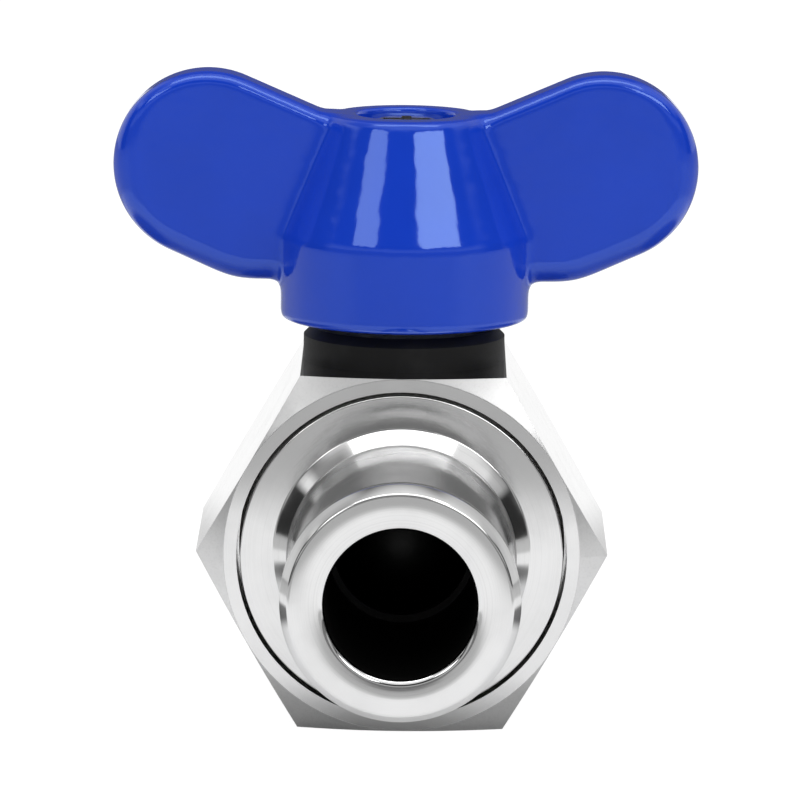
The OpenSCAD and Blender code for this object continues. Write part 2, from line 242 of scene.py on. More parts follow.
class HandleSizes(bpy.types.PropertyGroup):
    """Sizes of the blue handle casting, which fills the box of the frame's handle."""

    hub_width: bpy.props.FloatProperty(
        name="Hub width", description="Diameter of the straight part of the hub",
        default=HANDLE_HIGH.y - HANDLE_LOW.y, min=0.01, unit="LENGTH", subtype="DISTANCE")
    hub_height: bpy.props.FloatProperty(
        name="Hub height", description="Height of the hub from its rim to its top",
        default=15.75 * MM, min=0.01, unit="LENGTH", subtype="DISTANCE")
    straight_height: bpy.props.FloatProperty(
        name="Straight height", description="Height of the straight part below the cone",
        default=6.4 * MM, min=0.001, unit="LENGTH", subtype="DISTANCE")
    top_width: bpy.props.FloatProperty(
        name="Top width", description="Diameter of the hub's flat top, before its edge is rounded",
        default=11.9 * MM, min=0.005, unit="LENGTH", subtype="DISTANCE")
    lobe_radius: bpy.props.FloatProperty(
        name="Lobe radius", description="Radius of the round end of a wing",
        default=7.25 * MM, min=0.003, unit="LENGTH", subtype="DISTANCE")
    wing_thickness: bpy.props.FloatProperty(
        name="Wing thickness", description="Thickness of a wing between its two flat faces",
        default=4.6 * MM, min=0.002, unit="LENGTH", subtype="DISTANCE")
    rim_width: bpy.props.FloatProperty(
        name="Rim width", description="Width of the rim at the side and the bottom of a wing",
        default=1.9 * MM, min=0.0005, unit="LENGTH", subtype="DISTANCE")
    top_rim_width: bpy.props.FloatProperty(
        name="Top rim width", description="Width of the tighter rim along the top of a wing",
        default=0.9 * MM, min=0.0001, unit="LENGTH", subtype="DISTANCE")
    fillet: bpy.props.FloatProperty(
        name="Fillet", description="Width over which a wing blends into the hub",
        default=1.4 * MM, min=0.0001, unit="LENGTH", subtype="DISTANCE")
    detail: bpy.props.FloatProperty(
        name="Detail", description="Edge length of the casting's mesh",
        default=0.22 * MM, min=0.0001, unit="LENGTH", subtype="DISTANCE")


class TurnedSizes(bpy.types.PropertyGroup):
    """Sizes of the front hose tail and the rubber collar."""

    tip_width: bpy.props.FloatProperty(
        name="Tip width", description="Diameter of the face at the tip",
        default=16.2 * MM, unit="LENGTH", subtype="DISTANCE")
    tip_break: bpy.props.FloatProperty(
        name="Tip break", description="Radius of the rounded edge around the tip",
        default=0.3 * MM, unit="LENGTH", subtype="DISTANCE")
    crest_width: bpy.props.FloatProperty(
        name="Crest width", description="Diameter over the barb crest",
        default=17.7 * MM, unit="LENGTH", subtype="DISTANCE")
    lead_length: bpy.props.FloatProperty(
        name="Lead-in length", description="Length of the cone from the tip to the crest",
        default=1.1 * MM, unit="LENGTH", subtype="DISTANCE")
    land_length: bpy.props.FloatProperty(
        name="Land length", description="Length of the crest",
        default=1.0 * MM, unit="LENGTH", subtype="DISTANCE")
    waist_width: bpy.props.FloatProperty(
        name="Waist width", description="Diameter of the neck behind the barb",
        default=16.6 * MM, unit="LENGTH", subtype="DISTANCE")
    root_width: bpy.props.FloatProperty(
        name="Root width", description="Diameter of the neck at its root cone",
        default=17.2 * MM, unit="LENGTH", subtype="DISTANCE")
    root_cone: bpy.props.FloatProperty(
        name="Root cone", description="Length and rise of the cone at the root",
        default=1.1 * MM, unit="LENGTH", subtype="DISTANCE")
    bore_width: bpy.props.FloatProperty(
        name="Bore width", description="Diameter of the bore",
        default=11.1 * MM, unit="LENGTH", subtype="DISTANCE")
    dish: bpy.props.FloatProperty(
        name="Dish", description="Slope of the slightly hollow face at the tip",
        default=math.radians(2.3), unit="ROTATION", subtype="ANGLE")
    lip_radius: bpy.props.FloatProperty(
        name="Lip radius", description="Radius of the rounded mouth of the bore",
        default=0.55 * MM, unit="LENGTH", subtype="DISTANCE")
    seam: bpy.props.FloatProperty(
        name="Seam", description="Extra gap around the screwed-in tail",
        default=0.18 * MM, min=0, unit="LENGTH", subtype="DISTANCE")
    edge_radius: bpy.props.FloatProperty(
        name="Edge radius", description="Radius of the broken edges",
        default=0.12 * MM, unit="LENGTH", subtype="DISTANCE")
    segments: bpy.props.IntProperty(
        name="Segments", description="Faces around a turned piece", default=192, min=24)


class FinishColours(bpy.types.PropertyGroup):
    """Colours of the finishes."""

    coat: bpy.props.FloatVectorProperty(
        name="Blue coating", description="Colour of the coating on the handle",
        default=(0.0072, 0.048, 0.55, 1.0), size=4, min=0, max=1, subtype="COLOR")
    steel: bpy.props.FloatVectorProperty(
        name="Polished steel", description="Colour of the polished body and tails",
        default=grey(0.76), size=4, min=0, max=1, subtype="COLOR")
    # Painted shade: the ball is made near black, standing in for the shade inside the passage.
    ball_painted_shade: bpy.props.FloatVectorProperty(
        name="Dark steel", description="Colour of the ball, darkened as painted shade",
        default=grey(0.03), size=4, min=0, max=1, subtype="COLOR")
    bare_steel: bpy.props.FloatVectorProperty(
        name="Turned steel", description="Colour of the stem, nuts and washers",
        default=grey(0.6), size=4, min=0, max=1, subtype="COLOR")
    rubber: bpy.props.FloatVectorProperty(
        name="Rubber", description="Colour of the collar and the sealing rings",
        default=grey(0.007), size=4, min=0, max=1, subtype="COLOR")
    seat: bpy.props.FloatVectorProperty(
        name="Sealing plastic", description="Colour of the packing and the flat seals",
        default=linear("ecebe4"), size=4, min=0, max=1, subtype="COLOR")
    # Painted shade: the seats are made near black, standing in for the shade inside the passage.
    seat_painted_shade: bpy.props.FloatVectorProperty(
        name="Seat plastic in painted shade", description="Colour of the seats, darkened as painted shade",
        default=grey(0.008), size=4, min=0, max=1, subtype="COLOR")


class StageSettings(bpy.types.PropertyGroup):
    """Camera, floor and studio light."""

    camera_place: bpy.props.FloatVectorProperty(
        name="Camera place", description="Place of the camera",
        default=(1.4 * MM, -568.29 * MM, 115.04 * MM), size=3, unit="LENGTH", subtype="TRANSLATION")
    camera_pitch: bpy.props.FloatProperty(
        name="Camera pitch", description="How far the camera looks down",
        default=math.radians(9.131), unit="ROTATION", subtype="ANGLE")
    camera_yaw: bpy.props.FloatProperty(
        name="Camera yaw", description="How far the camera turns to the right",
        default=math.radians(-0.168), unit="ROTATION", subtype="ANGLE")
    camera_roll: bpy.props.FloatProperty(
        name="Camera roll", description="How far the camera leans",
        default=math.radians(0.594), unit="ROTATION", subtype="ANGLE")
    lens: bpy.props.FloatProperty(
        name="Lens", description="Focal length on a 36 mm sensor",
        default=337.5, min=1, unit="CAMERA")
    floor_size: bpy.props.FloatProperty(
        name="Floor size", description="Width of the floor", default=6.0, min=1, unit="LENGTH")
    box_light: bpy.props.FloatProperty(
        name="Soft box light", description="Brightness of the brightest soft box, where 1 is white",
        default=4.6, min=0)
    fill_light: bpy.props.FloatProperty(
        name="Fill light", description="Brightness of the even light, where 1 is white",
        default=0.61, min=0)


def new_tree(name, floats, extra=()):
    """A geometry tree with a mesh in, the named number inputs, a material input and a mesh out."""
    tree = bpy.data.node_groups.new(name, "GeometryNodeTree")
    tree.interface.new_socket("Geometry", in_out="INPUT", socket_type="NodeSocketGeometry")
    for label in floats:
        tree.interface.new_socket(label, in_out="INPUT", socket_type="NodeSocketFloat")
    for label, kind in extra:
        tree.interface.new_socket(label, in_out="INPUT", socket_type=kind)
    tree.interface.new_socket("Material", in_out="INPUT", socket_type="NodeSocketMaterial")
    tree.interface.new_socket("Geometry", in_out="OUTPUT", socket_type="NodeSocketGeometry")
    graph = Graph(tree)
    given = graph.node("NodeGroupInput")
    inputs = {socket.name: Value(graph, socket) for socket in given.outputs if socket.name}
    return graph, inputs


def close_tree(graph, inputs, geometry):
    """Realizes, sets the material and ends the tree. Returns the tree."""
    real = graph.out("GeometryNodeRealizeInstances", {}, {"Geometry": geometry})
    sockets = {"Geometry": real, "Material": inputs["Material"]}
    painted = graph.out("GeometryNodeSetMaterial", {}, sockets)
    graph.node("NodeGroupOutput", {}, {"Geometry": painted})
    return graph.tree


def run_tree(name, tree, values, mesh=None, weighted=False):
    """A new object whose mesh is what the tree makes of the given mesh."""
    made = bpy.data.objects.new(name, mesh or bpy.data.meshes.new(name))
    bpy.context.scene.collection.objects.link(made)
    modifier = made.modifiers.new("Shape", "NODES")
    modifier.node_group = tree
    for item in tree.interface.items_tree:
        if item.item_type == "SOCKET" and item.in_out == "INPUT" and item.name in values:
            modifier[item.identifier] = values[item.name]
    if weighted:
        made.modifiers.new("Normals", "WEIGHTED_NORMAL").keep_sharp = True
    bpy.context.view_layer.update()
    graph = bpy.context.evaluated_depsgraph_get()
    shape = bpy.data.meshes.new_from_object(
        made.evaluated_get(graph), preserve_all_data_layers=True, depsgraph=graph)
    if not shape.polygons:
        raise RuntimeError(f"{name}: the tree made no faces")
    made.modifiers.clear()
    made.data = shape
    shape.name = name
    return made


def skin_of_field(graph, field, low, high, step, rounds=3):
    """A mesh of where a field, a distance in millimetres, is zero between two corners.

    Each round moves the points along their normals onto that surface.
    """
    counts = [max(2, round((b - a) / step)) for a, b in zip(low, high)]
    volume = graph.out("GeometryNodeVolumeCube", {}, {
        "Density": -field, "Background": -1.0, "Min": low, "Max": high,
        "Resolution X": counts[0], "Resolution Y": counts[1], "Resolution Z": counts[2]})
    mesh = graph.out("GeometryNodeVolumeToMesh", {}, {"Volume": volume, "Threshold": 0.0})
    normal = graph.out("GeometryNodeInputNormal")
    for _ in range(rounds):
        back = graph.out(
            "ShaderNodeVectorMath", {"operation": "SCALE"}, {0: normal, "Scale": field * -MM})
        mesh = graph.out("GeometryNodeSetPosition", {}, {"Geometry": mesh, "Offset": back})
    return graph.out("GeometryNodeSetShadeSmooth", {}, {0: mesh, "Shade Smooth": True})


def millimetres_from(graph, origin):
    """x, y and z in millimetres from a point, at each place."""
    place = graph.out("GeometryNodeInputPosition")
    moved = graph.out("ShaderNodeVectorMath", {"operation": "SUBTRACT"}, {0: place, 1: origin})
    scaled = graph.out("ShaderNodeVectorMath", {"operation": "SCALE"}, {0: moved, "Scale": 1 / MM})
    return graph.split(scaled)


def outer_tangent(a, b, side):
    """The normal and distance of the line that touches two circles (x, z, radius) on one side."""
    across = Vector((b[0] - a[0], b[1] - a[1]))
    reach = across.length
    along = across / reach
    beside = Vector((-along.y, along.x)) * side
    lean = (a[2] - b[2]) / reach
    normal = along * lean + beside * math.sqrt(1 - lean * lean)
    return normal, normal.dot(Vector(a[:2])) + a[2]


def handle_tree(sizes):
    """The casting as a rule: a hub, two rounded wings blended into it, and what is hollow in it.

    All lengths are in millimetres, and a soft join's last number is the width of its rounding.
    """
    names = ("Wing thickness", "Rim width", "Top rim width", "Fillet")
    graph, inputs = new_tree("Cast handle", names)
    origin = Vector((0, 0, HANDLE_LOW.z))
    x, y, h = millimetres_from(graph, origin)
    r = graph.length(x, y)
    hub_r = sizes.hub_width / 2 / MM
    hub_h = sizes.hub_height / MM
    straight_h = sizes.straight_height / MM
    top_r = sizes.top_width / 2 / MM

    cone_slope = math.atan2(hub_r - top_r, hub_h - straight_h)
    cone = (r - hub_r) * math.cos(cone_slope) + (h - straight_h) * math.sin(cone_slope)
    side = graph.soft_largest(r - hub_r, cone, 0.25)
    hub = graph.soft_largest(graph.soft_largest(side, h - hub_h, 0.8), -h, 1.0)

    # Outline of a wing seen from the front, as tangents to its circles (x, height, radius)
    lobe_r = sizes.lobe_radius / MM
    lobe_x = (HANDLE_HIGH.x - sizes.lobe_radius) / MM
    lobe = (lobe_x, (HANDLE_HIGH.z - HANDLE_LOW.z) / MM - lobe_r, lobe_r)
    heel = (12.5, 5.4, 2.5)
    root_top = (4.8, hub_h - 2.7, 2.0)
    root_low = (4.8, 4.9, 2.0)
    across = abs(x)
    lines = []
    starts = []
    for a, b, turn in ((lobe, root_top, -1), (lobe, heel, 1), (heel, root_low, 1)):
        normal, reach = outer_tangent(a, b, turn)
        lines.append(across * normal.x + h * normal.y - reach)
        starts.append(normal)
    top_line, outer_line, low_line = lines
    straight = graph.largest(top_line, graph.soft_largest(outer_line, low_line, 1.0))
    from_lobe_x, from_lobe_h = across - lobe[0], h - lobe[1]
    past_top = from_lobe_x * starts[0].y - from_lobe_h * starts[0].x
    past_low = from_lobe_h * starts[1].x - from_lobe_x * starts[1].y
    on_lobe = graph.math("MINIMUM", past_top, past_low) > 0.0
    outline = graph.mix_number(on_lobe, straight, graph.length(from_lobe_x, from_lobe_h) - lobe[2])

    # The rim is a quarter of an ellipse on either face, wide below and tight along the top.
    # Above is measured from the lobe's middle, at 15 degrees to the upright.
    half = inputs["Wing thickness"] * (0.5 / MM)
    above = from_lobe_h * 0.966 - from_lobe_x * 0.259
    tight = graph.ramp_between(above, -1.5, 5.0)
    rim = graph.mix_number(tight, inputs["Rim width"], inputs["Top rim width"]) / MM
    depth = graph.mix_number(tight, half, 1.1)
    over = graph.largest(outline + rim, 0.0)
    beyond = graph.largest(abs(y) - (half - depth), 0.0)
    near = graph.length(over / rim, beyond / depth)
    slope = graph.length(over / (rim * rim), beyond / (depth * depth))
    rounded = (near - 1.0) * (near + 0.02) / (slope + 0.02 / rim)
    inner = graph.math("MINIMUM", graph.largest(outline + rim, abs(y) - (half - depth)), 0.0)
    wing = rounded + inner
    solid = graph.soft_least(hub, wing, inputs["Fillet"] / MM)

    # Screw recess, square drive, hollow over the neck and the curved slot of the stop lug
    recess = graph.largest(r - RECESS_R, (hub_h - RECESS_DEPTH) - h)
    square = graph.largest(abs(x), abs(y)) - DRIVE_HALF
    hollow = graph.largest(r - HOLLOW_R, h - HOLLOW_HEIGHT)
    slot = graph.largest(
        r - SLOT_R, h - SLOT_HEIGHT,
        x * math.sin(SLOT_START) - y * math.cos(SLOT_START),
        y * math.cos(SLOT_END) - x * math.sin(SLOT_END))
    for gap, edge in ((recess, 0.45), (square, 0.2), (hollow, 0.4), (slot, 0.3)):
        solid = graph.soft_largest(solid, -gap, edge)

    margin = Vector((1, 1, 1)) * 3 * sizes.detail
    mesh = skin_of_field(graph, solid, HANDLE_LOW - margin, HANDLE_HIGH + margin, sizes.detail)
    return close_tree(graph, inputs, mesh)


def turned_tree():
    """Turns a closed outline into a solid. Its edges have x as the radius and y along the axis.

    The points' attribute "edge" says how many times the edge radius each corner is rounded.
    """
    graph, inputs = new_tree(
        "Turned piece", ("Edge radius", "Axis height"), [("Segments", "NodeSocketInt")])
    curve = graph.out("GeometryNodeMeshToCurve", {}, {"Mesh": inputs["Geometry"]})
    edge = graph.out("GeometryNodeInputNamedAttribute", {"data_type": "FLOAT"}, {"Name": "edge"})
    rounded = graph.out("GeometryNodeFilletCurve", {"mode": "POLY"}, {
        "Curve": curve, "Radius": edge * inputs["Edge radius"], "Limit Radius": True, "Count": 5})
    points = graph.out(
        "GeometryNodeAttributeDomainSize", {"component": "CURVE"}, {"Geometry": rounded})
    around = inputs["Segments"] + 1
    grid = graph.out("GeometryNodeMeshGrid", {}, {"Vertices X": points + 1, "Vertices Y": around})
    index = graph.out("GeometryNodeInputIndex")
    row = graph.math("FLOOR", (index + 0.5) / around)
    column = index - row * around
    place = graph.out("GeometryNodeInputPosition")
    settings = {"data_type": "FLOAT_VECTOR", "domain": "POINT"}
    sampled = graph.out("GeometryNodeSampleIndex", settings, {
        "Geometry": rounded, "Value": place, "Index": graph.math("FLOORED_MODULO", row, points)})
    radius, along, _ = graph.split(sampled)
    angle = column * (2 * math.pi) / inputs["Segments"]
    turned = graph.vector(
        radius * graph.math("COSINE", angle), along,
        radius * graph.math("SINE", angle) + inputs["Axis height"])
    shaped = graph.out("GeometryNodeSetPosition", {}, {"Geometry": grid, "Position": turned})
    closed = graph.out("GeometryNodeMergeByDistance", {}, {"Geometry": shaped, "Distance": 1e-7})
    smooth = graph.out("GeometryNodeSetShadeSmooth", {}, {0: closed, "Shade Smooth": True})
    return close_tree(graph, inputs, smooth)


def outline_mesh(name, points):
    """A closed loop of edges through (radius, place along the axis, times the edge radius)."""
    mesh = bpy.data.meshes.new(name)
    edges = [(i, (i + 1) % len(points)) for i in range(len(points))]
    mesh.from_pydata([(r, y, 0) for r, y, _ in points], edges, [])
    edge = mesh.attributes.new("edge", "FLOAT", "POINT")
    edge.data.foreach_set("value", [e for _, _, e in points])
    return mesh


def new_material(name):
    """A Principled material. Returns it, its graph, its shader and the place in millimetres."""
    material = bpy.data.materials.new(name)
    material.use_nodes = True
    graph = Graph(material.node_tree)
    shader = next(n for n in material.node_tree.nodes if n.type == "BSDF_PRINCIPLED")
    place = graph.out("ShaderNodeTexCoord", {}, {}, "Object")
    scaled = graph.out("ShaderNodeVectorMath", {"operation": "SCALE"}, {0: place, "Scale": 1 / MM})
    return material, graph, shader, scaled


def noise(graph, vector, scale, detail=3.0, rough=0.5):
    settings = {"noise_dimensions": "3D"}
    sockets = {"Vector": vector, "Scale": scale, "Detail": detail, "Roughness": rough}
    return graph.out("ShaderNodeTexNoise", settings, sockets)


def set_shader(graph, shader, **sockets):
    for key, value in sockets.items():
        graph.connect(shader, key.replace("_", " "), value)


def bump(graph, height, distance):
    """A Bump node's normal for a height from 0 to 1 that stands for a distance in metres."""
    sockets = {"Height": height, "Distance": distance, "Strength": 1.0}
    return graph.out("ShaderNodeBump", {}, sockets)


def coat_material(colours):
    """Glossy blue coating, with the slow waves that a dipped coat has."""
    material, graph, shader, place = new_material("Blue coating")
    waves = noise(graph, place, 0.5, 1.0)
    grain = noise(graph, place, 2.6, 2.0)
    tone = graph.ramp_between(noise(graph, place, 0.12, 3.0), 0.35, 0.7)
    colour = graph.mix_colour(tone, tuple(colours.coat), times(colours.coat, 0.93))
    normal = bump(graph, waves * 0.94 + grain * 0.06, 0.04 * MM)
    set_shader(
        graph, shader, Base_Color=colour, Metallic=0.06, Roughness=0.06 + 0.06 * grain, IOR=1.6,
        Specular_Tint=(0.72, 1.0, 1.0, 1.0), Normal=normal)
    return material


def polished_material(colours, bore_r):
    """Polished steel: fine lathe rings on what is turned, long marks on the flats, a rough bore in
    painted shade.
    """
    material, graph, shader, place = new_material("Polished steel")
    x, along, z = graph.split(place)
    height = z - FLOW_AXIS_Z / MM
    radius = graph.length(x, height)
    rings = noise(graph, graph.vector(radius * 9.0, along * 9.0, 0.0), 1.0, 4.0, 0.6)
    drawn = noise(graph, graph.vector(x * 7.0, along * 0.25, z * 7.0), 1.0, 3.0, 0.6)
    smears = noise(graph, place, 0.28, 4.0, 0.55)
    on_hexagon = graph.ramp_between(radius, 13.1, 13.6)
    lines = graph.mix_number(on_hexagon, rings, drawn)

    # Where the steel is rougher: the chamfers, the neck near its root and the bore. The bore, the
    # neck there and the upper chamfers are darkened too, as painted shade and painted dark
    # reflections.
    above_middle = graph.ramp_between(height, 4.0, 9.0)
    chamfer_end = HEX_FACE - (radius - CHAMFER_R) * CHAMFER_SLOPE
    chamfer = abs(chamfer_end - abs(along)) < 0.03
    inside = (radius < bore_r) * (abs(along) < (TAIL_TIP - 0.12))
    on_neck = (radius < NECK_R) * (abs(along) > HEX_FACE)
    near_root = graph.ramp_between(abs(along), 21.0, 13.0) * on_neck

    worn = graph.ramp_between(smears, 0.4, 0.8)
    shine = 0.055 + 0.2 * near_root + 0.05 * lines + 0.05 * worn + 0.25 * chamfer
    tone = graph.ramp_between(smears, 0.3, 0.75)
    bright = graph.mix_colour(tone, tuple(colours.steel), times(colours.steel, 0.94))
    bright = graph.mix_colour(graph.ramp_between(lines, 0.45, 0.75) * 0.12, bright, grey(0.3))
    # Painted reflection: the neck near its root is darkened towards grey, standing in for the dark
    # surroundings it mirrors.
    bright = graph.mix_colour(near_root * 0.55, bright, grey(0.3))
    # Painted reflection: the upper parts of the chamfers are darkened, standing in for the dark
    # surroundings they mirror.
    bright = graph.mix_colour(chamfer * above_middle * 0.35, bright, grey(0.12))
    # Painted shade: the steel inside the bore is made near black, standing in for the shade in the
    # passage.
    painted_bore_shade = graph.mix_colour(rings, grey(0.02), grey(0.05))
    set_shader(
        graph, shader, Base_Color=graph.mix_colour(inside, bright, painted_bore_shade), Metallic=1.0,
        Roughness=graph.mix_number(inside, shine, 0.42), Normal=bump(graph, lines, 0.0006 * MM))
    return material


def turned_material(name, colour, rough, axis_is_stem):
    """Plain turned steel with rings about the stem or the flow axis."""
    material, graph, shader, place = new_material(name)
    x, y, z = graph.split(place)
    radius = graph.length(x, y) if axis_is_stem else graph.length(x, z - FLOW_AXIS_Z / MM)
    along = z if axis_is_stem else y
    rings = noise(graph, graph.vector(radius * 6.0, along * 6.0, 0.0), 1.0, 3.0, 0.6)
    stains = noise(graph, place, 0.5, 3.0)
    stained = graph.ramp_between(stains, 0.4, 0.7)
    set_shader(
        graph, shader, Base_Color=graph.mix_colour(stained, tuple(colour), times(colour, 0.8)),
        Metallic=1.0, Roughness=rough + 0.12 * rings, Normal=bump(graph, rings, 0.002 * MM))
    return material


def rubber_material(name, colour):
    """Black rubber, a little greyer where it has been handled, with a fine grain."""
    material, graph, shader, place = new_material(name)
    grain = noise(graph, place, 5.0, 3.0, 0.6)
    bloom = graph.ramp_between(noise(graph, place, 0.35, 3.0), 0.45, 0.75)
    worn = tuple(min(1.0, c * 1.5 + 0.002) for c in colour[:3]) + (1.0,)
    set_shader(
        graph, shader, Base_Color=graph.mix_colour(bloom, tuple(colour), worn),
        Metallic=0.0, IOR=1.3,
        Roughness=0.42 + 0.16 * grain, Normal=bump(graph, grain, 0.004 * MM))
    return material


def plastic_material(name, colour):
    """Sealing plastic with a faint cloud and a fine grain."""
    material, graph, shader, place = new_material(name)
    cloud = noise(graph, place, 0.6, 3.0)
    fine = noise(graph, place, 6.0, 2.0)
    warm = (colour[0] * 0.94, colour[1] * 0.92, colour[2] * 0.88, 1.0)
    warmth = graph.ramp_between(cloud, 0.4, 0.8)
    set_shader(
        graph, shader, Base_Color=graph.mix_colour(warmth, tuple(colour), warm),
        Metallic=0.0, Roughness=0.4 + 0.15 * fine, Normal=bump(graph, fine, 0.002 * MM))
    return material


def material(name):
    """A finish by its name, made when it is first asked for."""
    found = bpy.data.materials.get(name)
    if found is not None:
        return found
    colours = bpy.context.scene.valve_finish
    turned = bpy.context.scene.valve_turned
    if name == "Blue coating":
        return coat_material(colours)
    if name == "Polished steel":
        return polished_material(colours, turned.bore_width / 2 / MM + 0.03)
    if name == "Stem steel":
        return turned_material(name, colours.bare_steel, 0.2, True)
    if name == "Screw steel":
        return turned_material(name, times(colours.bare_steel, 1.35), 0.1, True)
    if name == "Ball steel":
        # The ball's near-black colour is painted shade.
        return turned_material(name, colours.ball_painted_shade, 0.3, False)
    if name == "Black rubber":
        return rubber_material(name, colours.rubber)
    if name == "Sealing plastic":
        return plastic_material(name, colours.seat)
    # The seats' near-black colour is painted shade.
    if name == "Seat plastic in painted shade":
        return plastic_material(name, colours.seat_painted_shade)
    raise ValueError(f"no finish is named {name}")


def paint_node(node, finish):
    """Gives a CAD node one finish."""
    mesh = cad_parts[node].data
    mesh.materials.clear()
    mesh.materials.append(material(finish))


class VALVE_OT_handle(bpy.types.Operator):
    """Casts the blue handle with its two wings"""

    bl_idname = "valve.handle"
    bl_label = "Handle"

    def execute(self, context):
        sizes = context.scene.valve_handle
        values = {
            "Wing thickness": sizes.wing_thickness,
            "Rim width": sizes.rim_width,
            "Top rim width": sizes.top_rim_width,
            "Fillet": sizes.fillet,
            "Material": material("Blue coating"),
        }
        casting = run_tree("handle_casting", handle_tree(sizes), values)
        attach(casting, TURNING_BODY)
        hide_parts("handle")
        return {"FINISHED"}


class VALVE_OT_front_tail(bpy.types.Operator):
    """Turns the screwed-in front hose tail"""

    bl_idname = "valve.front_tail"
    bl_label = "Front hose tail"

    def execute(self, context):
        sizes = context.scene.valve_turned
        bore = sizes.bore_width / 2
        tip, face = TAIL_LOW.y, BODY_LOW.y
        widest = TAIL_HIGH.x - sizes.seam
        tip_r = sizes.tip_width / 2
        crest = sizes.crest_width / 2
        waist = sizes.waist_width / 2
        root = sizes.root_width / 2
        pocket = SEAT_R + SEAT_GAP
        crest_front = tip + sizes.lead_length
        crest_back = crest_front + sizes.land_length
        step_back = crest_back + (crest - waist) * math.tan(CREST_BACK_SLOPE)
        mouth = tip + (tip_r - bore) * math.tan(sizes.dish)
        points = [
            (bore, FLARE_START, 1),
            (bore + FLARE, TAIL_HIGH.y, 1),
            (pocket, TAIL_HIGH.y, 1),
            (pocket, SEAL_FACE, 0),
            (widest, SEAL_FACE, 0),
            (widest, face, 1.2),
            (root + sizes.root_cone, face, 2),
            (root, face - sizes.root_cone, 2),
            (waist, step_back, 1),
            (crest, crest_back, 1),
            (crest, crest_front, 1.5),
            (tip_r + sizes.tip_break / 2, tip, sizes.tip_break / sizes.edge_radius),
            (bore, mouth, sizes.lip_radius / sizes.edge_radius),
        ]
        values = {
            "Edge radius": sizes.edge_radius,
            "Axis height": FLOW_AXIS_Z,
            "Segments": sizes.segments,
            "Material": material("Polished steel"),
        }
        outline = outline_mesh("front_tail", points)
        tail = run_tree("front_tail", turned_tree(), values, outline, weighted=True)
        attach(tail, VALVE_BODY)
        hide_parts("front_hose_tail")
        return {"FINISHED"}


class VALVE_OT_inner_parts(bpy.types.Operator):
    """Finishes the pieces that keep their CAD shape"""

    bl_idname = "valve.inner_parts"
    bl_label = "Inner parts"

    def execute(self, context):
        finishes = {
            "Polished steel": ("valve_body",),
            "Ball steel": ("ball",),
            "Stem steel": (
                "stem", "gland_ring", "gland_nut", "handle_washer", "handle_spring_washer"),
            "Screw steel": ("handle_screw",),
            "Black rubber": ("front_seat_ring", "rear_seat_ring", "stem_ring", "dust_collar"),
            # The seats are painted near black as shade in the passage.
            "Seat plastic in painted shade": ("front_seat", "rear_seat"),
            "Sealing plastic": (
                "tail_seal", "stem_thrust_washer", "lower_packing_ring", "upper_packing_ring"),
        }
        for finish, nodes in finishes.items():
            for node in nodes:
                paint_node(node, finish)
        return {"FINISHED"}


def heading(turn, rise):
    """The direction at a turn to the right of the photograph's view and a rise over the floor."""
    flat = math.cos(rise)
    return Vector((math.sin(turn) * flat, -math.cos(turn) * flat, math.sin(rise)))


def soft_box(name, turn, rise, distance, width, height, light):
    """A rectangular lamp that faces the valve from a turn and a rise in degrees."""
    data = bpy.data.lights.new(name, "AREA")
    data.shape = "RECTANGLE"
    data.size, data.size_y = width, height
    data.energy = light * math.pi * width * height
    lamp = bpy.data.objects.new(name, data)
    bpy.context.scene.collection.objects.link(lamp)
    away = heading(math.radians(turn), math.radians(rise))
    lamp.location = LAMP_AIM + away * distance
    lamp.rotation_mode = "QUATERNION"
    lamp.rotation_quaternion = (-away).to_track_quat("-Z", "Y")


def studio_world(fill):
    """White to the camera, even light on matt surfaces, and a room of its own for gloss.

    The room's sides are stops of brightness from the horizon, 0, to straight up, 1.
    """
    world = bpy.data.worlds.new("Studio")
    world.use_nodes = True
    graph = Graph(world.node_tree)
    background = world.node_tree.nodes["Background"]
    path = graph.node("ShaderNodeLightPath")
    seen = Value(graph, path.outputs["Is Camera Ray"])
    glossy = Value(graph, path.outputs["Is Glossy Ray"])
    x, y, z = graph.split(graph.out("ShaderNodeTexCoord", {}, {}, "Generated"))
    ahead = graph.steps(z, (
        (0.0, 0.2), (0.168, 0.2), (0.19, 0.6), (0.3, 0.5), (0.4, 0.03), (0.6, 0.03), (0.74, 1.0)))
    left = graph.steps(z, (
        (0.4, 0.03), (0.47, 1.0), (0.52, 1.0), (0.6, 0.33), (0.8, 0.33), (0.92, 0.9)))
    right = graph.steps(z, ((0.38, 0.03), (0.45, 0.5), (0.56, 0.65), (0.62, 1.0)))
    middle = graph.steps(z, ((0.0, 0.12), (0.85, 0.12), (0.95, 0.85), (1.0, 0.9)))
    flank = graph.steps(z, ((0.0, 0.8), (0.3, 0.75), (0.45, 0.65), (1.0, 0.65)))
    behind = graph.mix_number(graph.ramp_between(abs(x), 0.25, 0.5), middle, flank)
    beside = graph.mix_number(x > 0.0, left, right)
    front = graph.ramp_between(-y, 0.08, 0.3)
    back = graph.ramp_between(y, 0.2, 0.45)
    room = graph.mix_number(back, graph.mix_number(front, beside, ahead), behind)
    soft = fill * (0.7 + 0.6 * graph.largest(z, 0.0))
    level = graph.mix_number(glossy, graph.mix_number(seen, soft, 1.0), room)
    background.inputs["Color"].default_value = grey(1.0)
    graph.connect(background, "Strength", level)
    bpy.context.scene.world = world


